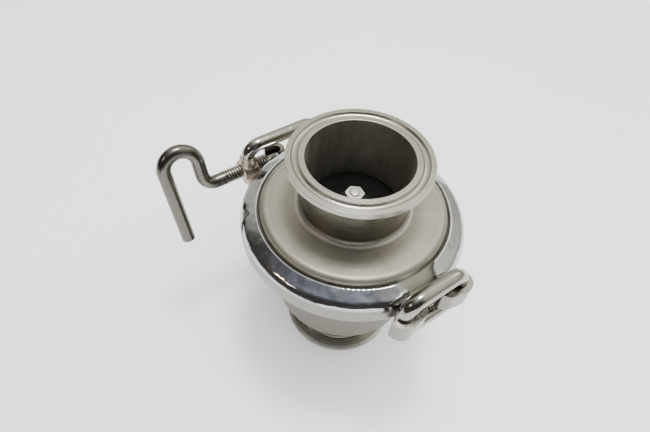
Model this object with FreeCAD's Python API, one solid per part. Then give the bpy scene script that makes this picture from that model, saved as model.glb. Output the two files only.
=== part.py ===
import FreeCAD, Part
import math
import os

# A sanitary in-line spring check valve. A short inlet cap and a long outlet cup, each with a clamp ferrule
# welded to it, meet at bevelled flanges inside a two-part screw clamp. A rubber-faced disc on a guided stem
# is pushed up against the seat at the foot of the inlet bore by a coil spring.
# Millimetres. +Z is the valve's axis, towards the inlet; the origin is the centre of the outlet face.
# Flow goes from +Z to -Z.

# Clamp ferrules, 2 inch tube size
HEIGHT = 129.5              # outlet face to inlet face
FERRULE_RADIUS = 32.0
BORE_RADIUS = 23.75
TUBE_RADIUS = 25.4
RIM_DEPTH = 2.6             # straight edge of the ferrule, before its back taper
TAPER_ANGLE = 20.0          # back taper of the ferrule, degrees
GROOVE_RADIUS = 27.95       # middle of the gasket groove
GROOVE_HALF_WIDTH = 1.7
GROOVE_DEPTH = 1.3
EDGE_BREAK = 0.3            # rounding of turned edges

# Clamp band section: a flat wall with a bevelled lip above and below it
JOINT_PLANE = 88.75         # where the two flanges meet, and the middle of the clamp
BAND_RADIUS = 54.0          # outside
BAND_THICKNESS = 2.2
LIP_RADIUS = 45.4           # inner edge of both lips
LIP_HEIGHT = 10.25          # lip edge above the joint plane
BEVEL_ANGLE = 27.5          # degrees below the horizontal
BAND_BEND = 6.0             # outside radius between wall and bevel
BAND_INNER_BEND = 3.8
LIP_ROUNDING = 0.7
GAP_HALF_WIDTH = 7.6        # half the gap between the two bands, at both ends
LIP_CORNER = 9.0            # rounding of the lips' corners in plan
FLANGE_CLEARANCE = 0.3      # between the flanges and the band's inside

# Body shells
FLANGE_RADIUS = 50.5
CAP_RADIUS = 44.5           # inlet cap above its flange
CAP_TOP = 100.8             # shoulder of the inlet cap
CAP_KNUCKLE = 3.2
CUP_RADIUS = 38.0           # outlet cup below its flange
CUP_FLOOR = 33.0            # underside of the outlet cup
CUP_KNUCKLE = 2.5
FLOOR_THICKNESS = 3.0
CHAMBER_RADIUS = 35.5
CHAMBER_TOP = 97.4
SEAT_HEIGHT = 96.0          # underside of the inlet stub, where the disc seals
SEAT_LAND = 26.6            # outside radius of the seat ring
WELD_LEG = 2.5              # fillet weld between stub and shell
GASKET_INNER = 38.5
GASKET_OUTER = 43.5
GASKET_HALF_HEIGHT = 1.6
GASKET_ROUNDING = 0.8
GASKET_GROOVE_ROUNDING = 0.4
CHAMBER_ROUNDING = 3.0
FLANGE_ROOT_ROUNDING = 0.8
FLANGE_RIM_ROUNDING = 2.6
CUP_NECK_DROP = 2.4         # where the cup's wall starts to flare, below the flange root
CUP_NECK_ROUNDING = 4.0
CUP_SHOULDER = 1.0          # small step under the flange root
SEAM_DROP = 5.4             # butt weld between cup and flange, below the flange root

# Disc, stem and guide
SEAL_RADIUS = 27.5
SEAL_PLUG_RADIUS = 22.6     # where the moulded plug starts inside the bore
SEAL_BOTTOM = 91.2
PLUG_TOP = 101.0
PLUG_TOP_RADIUS = 7.5
BACKING_RADIUS = 27.0
BACKING_BOTTOM = 88.0
CUP_WASHER_BOTTOM = 86.5
STEM_RADIUS = 4.0
STEM_BOTTOM = 39.0
STEM_COLLAR_RADIUS = 6.0
STEM_COLLAR_BOTTOM = 84.5
STUD_RADIUS = 2.5           # threaded upper end of the stem
STEM_TOP = 107.6
STEM_END_ROUNDING = 0.8
CUP_RIM_CLEARANCE = 0.3     # between the spring and the rim of the cup above it
CUP_RIM_THICKNESS = 1.2
CUP_RIM_DEPTH = 1.5
SEAL_PLUG_CHAMFER = 1.4
SEAL_EDGE_ROUNDING = 0.6
PLUG_TOP_ROUNDING = 1.5
NUT_CHAMFER = 0.15
NUT_TURN = 5.0              # where its first corner points, degrees
SEAL_WASHER_RADIUS = 4.4
SEAL_WASHER_TOP = 102.1
NUT_TOP = 106.6
NUT_ACROSS_FLATS = 8.0
BUSH_BOTTOM = 41.0
BUSH_TOP = 53.0
BUSH_RADIUS = 6.0
BUSH_CLEARANCE = 0.05
HUB_RADIUS = 8.5
ARM_BOTTOM = 41.0
ARM_TOP = 49.0
ARM_THICKNESS = 4.0
ARM_COUNT = 3

# Spring
SPRING_WIRE = 2.2
SPRING_RADIUS = 12.5        # middle of the wire
SPRING_WASHER_THICKNESS = 1.2
WASHER_CLEARANCE = 0.1
SPRING_TURNS = 6

# Clamp links, hooks and screw. In each gap's own frame X points outwards through the middle of the gap,
# and Y along the clamp's tangent.
HINGE_AZIMUTH = -46.5
SCREW_AZIMUTH = HINGE_AZIMUTH + 180.0
ROD_RADIUS = 3.5
LINK_X = 56.3               # plane of both links
LINK_END_Y = 15.5           # middle of the link's end rod, in the hook
HINGE_LINK_HALF_HEIGHT = 13.0
HINGE_LINK_BEND = 7.5
SCREW_LINK_HALF_HEIGHT = 13.8
SCREW_LINK_BEND = 7.5
BOSS_Y = 26.5
BOSS_RADIUS = 5.6
BOSS_HALF_LENGTH = 4.7
BOSS_ROUNDING = 1.2
STRAP_THICKNESS = 2.4
STRAP_HALF_HEIGHT = 5.5
THROAT_X = 56.4             # middle of the hook's bend towards the gap
THROAT_Y = 9.6
THROAT_RADIUS = 3.9         # of the strap's middle line
POCKET_RADIUS = 4.9         # of the strap's middle line round the link rod
POCKET_TIP_ANGLE = 95.0     # where the pocket's free end stops
OPEN_LEG_LENGTH = 5.2       # straight leg of the hook that the screw enters
FOOT_ANGLE = -150.0         # where the strap turns in to the band
FOOT_LENGTH = 3.0

SCREW_X = 56.6
THREAD_RADIUS = 3.95
THREAD_CLEARANCE = 0.05
THREAD_START_Y = 15.2
THREAD_END_Y = 40.0
THREAD_TIP_CHAMFER = 0.7
BUTTON_RADIUS = 2.4
BUTTON_TIP_Y = 7.05         # rounded end, in the throat of the hook
HANDLE_TILT = 14.6          # lean of the handle's plane from the vertical, degrees
HANDLE_RISE_Y = 51.3
HANDLE_LEG_Y = 68.5
HANDLE_TOP = 23.2           # middle of the rod at the top of the handle
HANDLE_END = -26.6
HANDLE_LOW_BEND = 6.5

AXIS = FreeCAD.Vector(0, 0, 1)
ORIGIN = FreeCAD.Vector(0, 0, 0)


# ---------- drawing helpers ----------

def rounded_edges(corners, place, closed):
    """Edges through 2-D corners (a, b, radius), straight between them, each corner rounded by its radius.
    place turns (a, b) into a point in space."""
    last = len(corners) - 1
    turns = []
    for i, (a, b, radius) in enumerate(corners):
        here = FreeCAD.Vector(a, b, 0)
        if radius == 0 or (not closed and i in (0, last)):
            turns.append([here])
            continue
        before = FreeCAD.Vector(*corners[i - 1][:2], 0) - here
        after = FreeCAD.Vector(*corners[(i + 1) % len(corners)][:2], 0) - here
        before.normalize()
        after.normalize()
        half = before.getAngle(after) / 2
        inward = (before + after).normalize()
        centre = here + inward * (radius / math.sin(half))
        setback = radius / math.tan(half)
        turns.append([here + before * setback, centre - inward * radius, here + after * setback])
    placed = [[place(p.x, p.y) for p in turn] for turn in turns]
    edges = []
    for i, turn in enumerate(placed):
        if len(turn) == 3:
            edges.append(Part.Arc(*turn).toShape())
        if i < last or closed:
            following = placed[(i + 1) % len(placed)][0]
            if turn[-1].distanceToPoint(following) > 1e-6:
                edges.append(Part.LineSegment(turn[-1], following).toShape())
    return edges


def turned(corners):
    """Solid of revolution about the valve's axis, from (radius, height, rounding) corners."""
    edges = rounded_edges(corners, lambda radius, height: FreeCAD.Vector(radius, 0, height), True)
    return Part.Face(Part.Wire(edges)).revolve(ORIGIN, AXIS, 360)


def ring(inner, outer, bottom, top):
    """Plain ring about the valve's axis."""
    return turned([(inner, bottom, 0), (outer, bottom, 0), (outer, top, 0), (inner, top, 0)])


def cylinder(radius, start, end):
    """Round bar from start to end."""
    line = end - start
    return Part.makeCylinder(radius, line.Length, start, line)


def swept(edges, section, upright=AXIS):
    """Solid swept along a flat path of edges. The section keeps its side that faces upright."""
    pipe = Part.BRepOffsetAPI.MakePipeShell(Part.Wire(edges))
    pipe.setBiNormalMode(upright)
    pipe.add(section)
    pipe.build()
    pipe.makeSolid()
    return pipe.shape()


def rod(edges, start, direction, upright):
    """Round rod along a flat path that begins at start."""
    section = Part.Wire(Part.makeCircle(ROD_RADIUS, start, direction))
    return swept(edges, section, upright)


def at_azimuth(shape, azimuth):
    """A copy turned from the gap's own frame to its place round the clamp."""
    placed = shape.copy()
    placed.rotate(ORIGIN, AXIS, azimuth)
    return placed


def single(shape):
    """The one solid of a shape, with its split faces joined."""
    return shape.removeSplitter().Solids[0]


# ---------- body shells ----------

taper_drop = (FERRULE_RADIUS - TUBE_RADIUS) * math.tan(math.radians(TAPER_ANGLE))


def ferrule_stub(end, face, side):
    """Clamp ferrule with its tube. face is its sealing face, end the tube's other end, side +1 or -1 outwards."""
    groove_cutter = groove_ring(face, side)
    stub = turned([
        (BORE_RADIUS, face, EDGE_BREAK),
        (FERRULE_RADIUS, face, EDGE_BREAK),
        (FERRULE_RADIUS, face - side * RIM_DEPTH, EDGE_BREAK),
        (TUBE_RADIUS, face - side * (RIM_DEPTH + taper_drop), WELD_LEG),
        (TUBE_RADIUS, end, 0),
        (BORE_RADIUS, end, 0),
    ])
    return single(stub.cut(groove_cutter))


def groove_ring(face, side):
    """Cutter for the gasket groove: a ring whose section is an arc below the sealing face."""
    inner = FreeCAD.Vector(GROOVE_RADIUS - GROOVE_HALF_WIDTH, 0, face)
    deepest = FreeCAD.Vector(GROOVE_RADIUS, 0, face - side * GROOVE_DEPTH)
    outer = FreeCAD.Vector(GROOVE_RADIUS + GROOVE_HALF_WIDTH, 0, face)
    above = FreeCAD.Vector(GROOVE_RADIUS, 0, face + side)
    edges = [
        Part.Arc(inner, deepest, outer).toShape(),
        Part.LineSegment(outer, above).toShape(),
        Part.LineSegment(above, inner).toShape(),
    ]
    return Part.Face(Part.Wire(edges)).revolve(ORIGIN, AXIS, 360)


bevel = math.tan(math.radians(BEVEL_ANGLE))
bevel_stretch = 1 / math.cos(math.radians(BEVEL_ANGLE))


def bevel_height(radius, depth):
    """Height above the joint plane of the band's bevel at a radius, depth below its outside face."""
    return LIP_HEIGHT - (radius - LIP_RADIUS) * bevel - depth * bevel_stretch


flange_depth = BAND_THICKNESS + FLANGE_CLEARANCE
flange_rim_height = bevel_height(FLANGE_RADIUS, flange_depth)
flange_root_height = bevel_height(CAP_RADIUS, flange_depth)


def upper_body():
    """Inlet cap: flat shoulder, rounded knuckle and bevelled flange, bored for the inlet stub."""
    cap = turned([
        (TUBE_RADIUS, CHAMBER_TOP, 0),
        (TUBE_RADIUS, CAP_TOP, 0),
        (CAP_RADIUS, CAP_TOP, CAP_KNUCKLE),
        (CAP_RADIUS, JOINT_PLANE + flange_root_height, FLANGE_ROOT_ROUNDING),
        (FLANGE_RADIUS, JOINT_PLANE + flange_rim_height, FLANGE_RIM_ROUNDING),
        (FLANGE_RADIUS, JOINT_PLANE, 0),
        (GASKET_OUTER, JOINT_PLANE, 0),
        (GASKET_OUTER, JOINT_PLANE + GASKET_HALF_HEIGHT, GASKET_GROOVE_ROUNDING),
        (GASKET_INNER, JOINT_PLANE + GASKET_HALF_HEIGHT, GASKET_GROOVE_ROUNDING),
        (GASKET_INNER, JOINT_PLANE, 0),
        (CHAMBER_RADIUS, JOINT_PLANE, 0),
        (CHAMBER_RADIUS, CHAMBER_TOP, CHAMBER_ROUNDING),
    ])
    return single(cap)


cup_root = JOINT_PLANE - flange_root_height
cup_seam = cup_root - SEAM_DROP


def lower_flange():
    """Bevelled flange with a short neck, butt welded to the top of the outlet cup."""
    flange = turned([
        (CHAMBER_RADIUS, cup_seam, 0),
        (CUP_RADIUS, cup_seam, 0),
        (CUP_RADIUS, cup_root - CUP_NECK_DROP, CUP_NECK_ROUNDING),
        (CAP_RADIUS - CUP_SHOULDER, cup_root - CUP_SHOULDER, CUP_SHOULDER),
        (CAP_RADIUS, cup_root, CUP_SHOULDER / 2),
        (FLANGE_RADIUS, JOINT_PLANE - flange_rim_height, FLANGE_RIM_ROUNDING),
        (FLANGE_RADIUS, JOINT_PLANE, 0),
        (GASKET_OUTER, JOINT_PLANE, 0),
        (GASKET_OUTER, JOINT_PLANE - GASKET_HALF_HEIGHT, GASKET_GROOVE_ROUNDING),
        (GASKET_INNER, JOINT_PLANE - GASKET_HALF_HEIGHT, GASKET_GROOVE_ROUNDING),
        (GASKET_INNER, JOINT_PLANE, 0),
        (CHAMBER_RADIUS, JOINT_PLANE, 0),
    ])
    return single(flange)


def lower_body():
    """Outlet cup: straight wall and flat floor, bored for the outlet stub."""
    cup = turned([
        (TUBE_RADIUS, CUP_FLOOR, 0),
        (CUP_RADIUS, CUP_FLOOR, CUP_KNUCKLE),
        (CUP_RADIUS, cup_seam, 0),
        (CHAMBER_RADIUS, cup_seam, 0),
        (CHAMBER_RADIUS, CUP_FLOOR + FLOOR_THICKNESS, CHAMBER_ROUNDING),
        (TUBE_RADIUS, CUP_FLOOR + FLOOR_THICKNESS, 0),
    ])
    return single(cup)


def inlet_stub():
    """Inlet ferrule and tube. It passes through the cap, and its lower end is the valve seat."""
    stub = ferrule_stub(SEAT_HEIGHT, HEIGHT, 1)
    seat_ring = ring(BORE_RADIUS, SEAT_LAND, SEAT_HEIGHT, CHAMBER_TOP)
    return single(stub.fuse(seat_ring))


def fillet_weld(radius, height, side):
    """Ring of weld metal with a hollow face, in the corner between a tube and a flat shoulder."""
    foot = FreeCAD.Vector(radius, 0, height)
    on_tube = FreeCAD.Vector(radius, 0, height + side * WELD_LEG)
    on_shoulder = FreeCAD.Vector(radius + WELD_LEG, 0, height)
    throat = WELD_LEG * (1 - math.sqrt(0.5))
    middle = FreeCAD.Vector(radius + throat, 0, height + side * throat)
    edges = [
        Part.LineSegment(foot, on_tube).toShape(),
        Part.Arc(on_tube, middle, on_shoulder).toShape(),
        Part.LineSegment(on_shoulder, foot).toShape(),
    ]
    return Part.Face(Part.Wire(edges)).revolve(ORIGIN, AXIS, 360).Solids[0]


def body_gasket():
    """Rubber ring in the two flanges' facing grooves."""
    low = JOINT_PLANE - GASKET_HALF_HEIGHT
    high = JOINT_PLANE + GASKET_HALF_HEIGHT
    return turned([
        (GASKET_INNER, low, GASKET_ROUNDING),
        (GASKET_OUTER, low, GASKET_ROUNDING),
        (GASKET_OUTER, high, GASKET_ROUNDING),
        (GASKET_INNER, high, GASKET_ROUNDING),
    ])


# ---------- disc, stem, guide and spring ----------

def stem():
    """Stem with a collar under the disc and a threaded upper end."""
    return turned([
        (0, STEM_BOTTOM, 0),
        (STEM_RADIUS, STEM_BOTTOM, STEM_END_ROUNDING),
        (STEM_RADIUS, STEM_COLLAR_BOTTOM, 0),
        (STEM_COLLAR_RADIUS, STEM_COLLAR_BOTTOM, EDGE_BREAK),
        (STEM_COLLAR_RADIUS, CUP_WASHER_BOTTOM, 0),
        (STUD_RADIUS, CUP_WASHER_BOTTOM, 0),
        (STUD_RADIUS, STEM_TOP, STEM_END_ROUNDING),
        (0, STEM_TOP, 0),
    ]).Solids[0]


def spring_cup():
    """Pressed washer under the disc whose rim keeps the spring centred."""
    rim_inner = SPRING_RADIUS + SPRING_WIRE / 2 + CUP_RIM_CLEARANCE
    rim_outer = rim_inner + CUP_RIM_THICKNESS
    rim_bottom = CUP_WASHER_BOTTOM - CUP_RIM_DEPTH
    return turned([
        (STUD_RADIUS, CUP_WASHER_BOTTOM, 0),
        (rim_inner, CUP_WASHER_BOTTOM, 0),
        (rim_inner, rim_bottom, 0),
        (rim_outer, rim_bottom, EDGE_BREAK),
        (rim_outer, BACKING_BOTTOM, 2 * EDGE_BREAK),
        (STUD_RADIUS, BACKING_BOTTOM, 0),
    ])


def seal_disc():
    """Rubber facing with a raised plug that stands in the inlet bore when shut."""
    return turned([
        (STUD_RADIUS, SEAL_BOTTOM, 0),
        (SEAL_RADIUS, SEAL_BOTTOM, SEAL_EDGE_ROUNDING),
        (SEAL_RADIUS, SEAT_HEIGHT, SEAL_EDGE_ROUNDING),
        (SEAL_PLUG_RADIUS, SEAT_HEIGHT, 0),
        (SEAL_PLUG_RADIUS - SEAL_PLUG_CHAMFER, SEAT_HEIGHT + SEAL_PLUG_CHAMFER, 1.0),
        (PLUG_TOP_RADIUS, PLUG_TOP, PLUG_TOP_ROUNDING),
        (STUD_RADIUS, PLUG_TOP, 0),
    ])


def stem_nut():
    """Hexagon nut with chamfered corners on both faces."""
    corner_radius = NUT_ACROSS_FLATS / math.sqrt(3)
    points = []
    for i in range(6):
        corner = FreeCAD.Vector(corner_radius, 0, SEAL_WASHER_TOP)
        points.append(FreeCAD.Rotation(AXIS, 60 * i + NUT_TURN).multVec(corner))
    hexagon = Part.Face(Part.makePolygon(points + [points[0]]))
    prism = hexagon.extrude(AXIS * (NUT_TOP - SEAL_WASHER_TOP))
    blank = turned([
        (STUD_RADIUS, SEAL_WASHER_TOP, 0),
        (corner_radius - NUT_CHAMFER, SEAL_WASHER_TOP, 0),
        (corner_radius, SEAL_WASHER_TOP + NUT_CHAMFER, 0),
        (corner_radius, NUT_TOP - NUT_CHAMFER, 0),
        (corner_radius - NUT_CHAMFER, NUT_TOP, 0),
        (STUD_RADIUS, NUT_TOP, 0),
    ])
    return single(prism.common(blank))


def guide_spider():
    """Hub on radial arms, welded to the wall of the cup."""
    spider = ring(BUSH_RADIUS, HUB_RADIUS, BUSH_BOTTOM, BUSH_TOP)
    for i in range(ARM_COUNT):
        arm = Part.makeBox(
            CHAMBER_RADIUS - BUSH_RADIUS + 1,
            ARM_THICKNESS,
            ARM_TOP - ARM_BOTTOM,
            FreeCAD.Vector(BUSH_RADIUS - 1, -ARM_THICKNESS / 2, ARM_BOTTOM),
        )
        spider = spider.fuse(at_azimuth(arm, 90 + 360 / ARM_COUNT * i))
    inside = Part.makeCylinder(CHAMBER_RADIUS, HEIGHT)
    hole = Part.makeCylinder(BUSH_RADIUS, HEIGHT)
    return single(spider.common(inside).cut(hole))


spring_bottom = ARM_TOP + SPRING_WASHER_THICKNESS


def spring():
    """Coil spring between the spider and the cup under the disc, at its fitted length. Every half turn is half
    a torus, tilted one way and then the other, so that it climbs smoothly into the next."""
    rise = (CUP_WASHER_BOTTOM - spring_bottom - SPRING_WIRE) / (2 * SPRING_TURNS)
    coil = None
    for i in range(2 * SPRING_TURNS):
        side = 1 if i % 2 == 0 else -1
        height = spring_bottom + SPRING_WIRE / 2 + rise * i
        start = FreeCAD.Vector(side * SPRING_RADIUS, 0, height)
        middle = FreeCAD.Vector(0, 0, height + rise / 2)
        axis = FreeCAD.Vector(side * rise, 0, 2 * SPRING_RADIUS)
        end_face = Part.Face(Part.Wire(Part.makeCircle(SPRING_WIRE / 2, start, FreeCAD.Vector(0, 1, 0))))
        half_turn = end_face.revolve(middle, axis, 180)
        coil = half_turn if coil is None else coil.fuse(half_turn)
    return single(coil)


# ---------- clamp ----------

def band_ring():
    """The clamp band's section turned into a full ring."""
    corners = []
    for side in (1, -1):
        lip_outer = (LIP_RADIUS, JOINT_PLANE + side * LIP_HEIGHT, LIP_ROUNDING)
        bend_outer = (BAND_RADIUS, JOINT_PLANE + side * bevel_height(BAND_RADIUS, 0), BAND_BEND)
        bend_radius = BAND_RADIUS - BAND_THICKNESS
        bend_inner = (bend_radius, JOINT_PLANE + side * bevel_height(bend_radius, BAND_THICKNESS), BAND_INNER_BEND)
        lip_inner = (LIP_RADIUS, JOINT_PLANE + side * bevel_height(LIP_RADIUS, BAND_THICKNESS), LIP_ROUNDING)
        corners.append((lip_outer, bend_outer, bend_inner, lip_inner))
    above, below = corners
    outline = [above[0], above[1], below[1], below[0], below[3], below[2], above[2], above[3]]
    return turned(outline)


def half_plan():
    """Prism over one half of the clamp: its ends stop short of the gaps, and its inner corners are rounded."""
    inner = LIP_RADIUS - 0.4
    outer = BAND_RADIUS + 1
    end = GAP_HALF_WIDTH
    half = Part.Face(Part.Wire([
        Part.LineSegment(FreeCAD.Vector(inner_x(inner, end), end, 0), FreeCAD.Vector(outer, end, 0)).toShape(),
        Part.LineSegment(FreeCAD.Vector(outer, end, 0), FreeCAD.Vector(outer, outer, 0)).toShape(),
        Part.LineSegment(FreeCAD.Vector(outer, outer, 0), FreeCAD.Vector(-outer, outer, 0)).toShape(),
        Part.LineSegment(FreeCAD.Vector(-outer, outer, 0), FreeCAD.Vector(-outer, end, 0)).toShape(),
        Part.LineSegment(FreeCAD.Vector(-outer, end, 0), FreeCAD.Vector(-inner_x(inner, end), end, 0)).toShape(),
        Part.Arc(
            FreeCAD.Vector(-inner_x(inner, end), end, 0),
            FreeCAD.Vector(0, inner, 0),
            FreeCAD.Vector(inner_x(inner, end), end, 0),
        ).toShape(),
    ]))
    prism = half.extrude(AXIS * HEIGHT)
    inner_edges = []
    for edge in prism.Edges:
        start, finish = edge.Vertexes[0].Point, edge.Vertexes[-1].Point
        upright = abs(start.z - finish.z) > 1
        if upright and abs(start.y - end) < 0.01 and abs(start.x) < outer - 1:
            inner_edges.append(edge)
    return prism.makeFillet(LIP_CORNER, inner_edges)


def inner_x(radius, y):
    """How far along X a circle about the axis crosses the line at y."""
    return math.sqrt(radius ** 2 - y ** 2)


def band(plan, azimuth):
    """One half of the clamp band."""
    return single(band_ring().common(at_azimuth(plan, azimuth)))


def hook(side, pocket):
    """Strap hook on the band, on the side (+1 or -1) of the gap. With a pocket it wraps round a link's rod;
    without, its leg stays open for the screw."""
    throat = FreeCAD.Vector(THROAT_X, THROAT_Y, 0)
    pocket_centre = FreeCAD.Vector(LINK_X, LINK_END_Y, 0)
    apart = throat - pocket_centre
    lean = math.degrees(math.acos((POCKET_RADIUS - THROAT_RADIUS) / apart.Length))
    leg_angle = math.degrees(math.atan2(apart.y, apart.x)) + lean

    def spot(centre, radius, angle):
        turn = math.radians(angle)
        return centre + FreeCAD.Vector(radius * math.cos(turn), radius * math.sin(turn), 0)

    foot_turn = math.radians(FOOT_ANGLE)
    bend_end = spot(throat, THROAT_RADIUS, FOOT_ANGLE)
    foot = bend_end + FreeCAD.Vector(math.sin(foot_turn), -math.cos(foot_turn), 0) * FOOT_LENGTH
    bend_start = spot(throat, THROAT_RADIUS, leg_angle)
    bend_middle = spot(throat, THROAT_RADIUS, (leg_angle + FOOT_ANGLE) / 2)
    edges = [
        Part.LineSegment(foot, bend_end).toShape(),
        Part.Arc(bend_end, bend_middle, bend_start).toShape(),
    ]
    if pocket:
        leg_end = spot(pocket_centre, POCKET_RADIUS, leg_angle)
        tip = spot(pocket_centre, POCKET_RADIUS, POCKET_TIP_ANGLE)
        tip_middle = spot(pocket_centre, POCKET_RADIUS, (POCKET_TIP_ANGLE + leg_angle) / 2)
        edges.append(Part.LineSegment(bend_start, leg_end).toShape())
        edges.append(Part.Arc(leg_end, tip_middle, tip).toShape())
    else:
        leg_turn = math.radians(leg_angle)
        leg_line = FreeCAD.Vector(-math.sin(leg_turn), math.cos(leg_turn), 0)
        edges.append(Part.LineSegment(bend_start, bend_start + leg_line * OPEN_LEG_LENGTH).toShape())
    across = FreeCAD.Vector(math.cos(foot_turn), math.sin(foot_turn), 0) * (STRAP_THICKNESS / 2)
    up = AXIS * STRAP_HALF_HEIGHT
    corners = [foot + across + up, foot - across + up, foot - across - up, foot + across - up]
    section = Part.makePolygon(corners + corners[:1])
    strap = swept(edges, section)
    strap.translate(AXIS * JOINT_PLANE)
    if side < 0:
        strap = strap.mirror(ORIGIN, FreeCAD.Vector(0, 1, 0))
    return single(strap.cut(Part.makeCylinder(BAND_RADIUS, HEIGHT)))


def link_place(y, z):
    """A point of the links' upright plane, from its distance along the tangent and above the joint plane."""
    return FreeCAD.Vector(LINK_X, y, JOINT_PLANE + z)


def hinge_link():
    """Oval ring of round rod that joins the two bands at the hinge side."""
    halves = []
    for side in (1, -1):
        end = side * LINK_END_Y
        top = HINGE_LINK_HALF_HEIGHT
        corners = [(0, top, 0), (end, top, HINGE_LINK_BEND), (end, -top, HINGE_LINK_BEND), (0, -top, 0)]
        edges = rounded_edges(corners, link_place, False)
        halves.append(rod(edges, link_place(0, top), FreeCAD.Vector(0, side, 0), FreeCAD.Vector(1, 0, 0)))
    return single(halves[0].fuse(halves[1]))


def boss_core(radius, half_length):
    """Round bar along the screw's axis, centred on the boss."""
    start = FreeCAD.Vector(SCREW_X, BOSS_Y - half_length, JOINT_PLANE)
    return cylinder(radius, start, start + FreeCAD.Vector(0, 2 * half_length, 0))


def screw_link():
    """Rod bent into a long loop from the top of the boss round to its underside."""
    top = SCREW_LINK_HALF_HEIGHT
    far = -LINK_END_Y
    corners = [
        (BOSS_Y, BOSS_RADIUS / 2, 0),
        (BOSS_Y, top, SCREW_LINK_BEND),
        (far, top, SCREW_LINK_BEND),
        (far, -top, SCREW_LINK_BEND),
        (BOSS_Y, -top, SCREW_LINK_BEND),
        (BOSS_Y, -BOSS_RADIUS / 2, 0),
    ]
    edges = rounded_edges(corners, link_place, False)
    loop = rod(edges, link_place(BOSS_Y, BOSS_RADIUS / 2), AXIS, FreeCAD.Vector(1, 0, 0))
    return single(loop.cut(boss_core(BOSS_RADIUS, 2 * BOSS_HALF_LENGTH)))


def link_boss():
    """Threaded boss welded into the loop's open end."""
    core = boss_core(BOSS_RADIUS, BOSS_HALF_LENGTH)
    rims = [edge for edge in core.Edges if abs(edge.Length - 2 * math.pi * BOSS_RADIUS) < 0.01]
    rounded = core.makeFillet(BOSS_ROUNDING, rims)
    return single(rounded.cut(boss_core(THREAD_RADIUS + THREAD_CLEARANCE, 2 * BOSS_HALF_LENGTH)))


def thrust_button():
    """Round-nosed end of the screw, which bears in the hook's throat without turning."""
    end = FreeCAD.Vector(SCREW_X, THREAD_START_Y, JOINT_PLANE)
    nose_centre = FreeCAD.Vector(SCREW_X, BUTTON_TIP_Y + BUTTON_RADIUS, JOINT_PLANE)
    nose = Part.makeSphere(BUTTON_RADIUS, nose_centre)
    return single(cylinder(BUTTON_RADIUS, nose_centre, end).fuse(nose))


def clamp_screw():
    """Screw whose outer end is bent into a hook-shaped handle."""
    tilt = math.radians(HANDLE_TILT)
    lean = FreeCAD.Vector(math.sin(tilt), 0, math.cos(tilt))
    centre = FreeCAD.Vector(SCREW_X, 0, JOINT_PLANE)

    def handle_place(y, w):
        return centre + FreeCAD.Vector(0, y, 0) + lean * w

    top_bend = (HANDLE_LEG_Y - HANDLE_RISE_Y) / 2 - 0.01
    corners = [
        (THREAD_END_Y, 0, 0),
        (HANDLE_RISE_Y, 0, HANDLE_LOW_BEND),
        (HANDLE_RISE_Y, HANDLE_TOP, top_bend),
        (HANDLE_LEG_Y, HANDLE_TOP, top_bend),
        (HANDLE_LEG_Y, HANDLE_END, 0),
    ]
    edges = rounded_edges(corners, handle_place, False)
    across = lean.cross(FreeCAD.Vector(0, 1, 0))
    handle = rod(edges, handle_place(THREAD_END_Y, 0), FreeCAD.Vector(0, 1, 0), across)
    thread = cylinder(THREAD_RADIUS, handle_place(THREAD_START_Y, 0), handle_place(THREAD_END_Y, 0))
    tip_edges = []
    for edge in thread.Edges:
        if abs(edge.CenterOfMass.y - THREAD_START_Y) < 0.01 and len(edge.Vertexes) == 1:
            tip_edges.append(edge)
    return single(thread.makeChamfer(THREAD_TIP_CHAMFER, tip_edges).fuse(handle))


# ---------- all the pieces ----------

plan = half_plan()
pieces = {
    "inlet_ferrule": inlet_stub(),
    "inlet_weld": fillet_weld(TUBE_RADIUS, CAP_TOP, 1),
    "upper_body": upper_body(),
    "body_gasket": body_gasket(),
    "lower_flange": lower_flange(),
    "lower_body": lower_body(),
    "outlet_weld": fillet_weld(TUBE_RADIUS, CUP_FLOOR, -1),
    "outlet_ferrule": ferrule_stub(CUP_FLOOR + FLOOR_THICKNESS, 0, -1),
    "guide_spider": guide_spider(),
    "guide_bush": ring(STEM_RADIUS + BUSH_CLEARANCE, BUSH_RADIUS, BUSH_BOTTOM, BUSH_TOP),
    "spring_washer": ring(HUB_RADIUS + WASHER_CLEARANCE, SPRING_RADIUS + SPRING_WIRE, ARM_TOP, spring_bottom),
    "spring": spring(),
    "stem": stem(),
    "spring_cup": spring_cup(),
    "backing_disc": ring(STUD_RADIUS, BACKING_RADIUS, BACKING_BOTTOM, SEAL_BOTTOM),
    "seal_disc": seal_disc(),
    "seal_washer": ring(STUD_RADIUS, SEAL_WASHER_RADIUS, PLUG_TOP, SEAL_WASHER_TOP),
    "stem_nut": stem_nut(),
    "rear_band": band(plan, HINGE_AZIMUTH),
    "front_band": band(plan, SCREW_AZIMUTH),
    "hook_rear_hinge": at_azimuth(hook(1, True), HINGE_AZIMUTH),
    "hook_front_hinge": at_azimuth(hook(-1, True), HINGE_AZIMUTH),
    "hook_rear_screw": at_azimuth(hook(-1, True), SCREW_AZIMUTH),
    "hook_front_screw": at_azimuth(hook(1, False), SCREW_AZIMUTH),
    "hinge_link": at_azimuth(hinge_link(), HINGE_AZIMUTH),
    "screw_link": at_azimuth(screw_link(), SCREW_AZIMUTH),
    "link_boss": at_azimuth(link_boss(), SCREW_AZIMUTH),
    "thrust_button": at_azimuth(thrust_button(), SCREW_AZIMUTH),
    "clamp_screw": at_azimuth(clamp_screw(), SCREW_AZIMUTH),
}

os.makedirs("parts", exist_ok=True)
for name, shape in pieces.items():
    shape.exportStep("parts/" + name + ".step")
    print(name, "valid" if shape.isValid() else "NOT VALID", len(shape.Solids), round(shape.Volume, 1))
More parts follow.
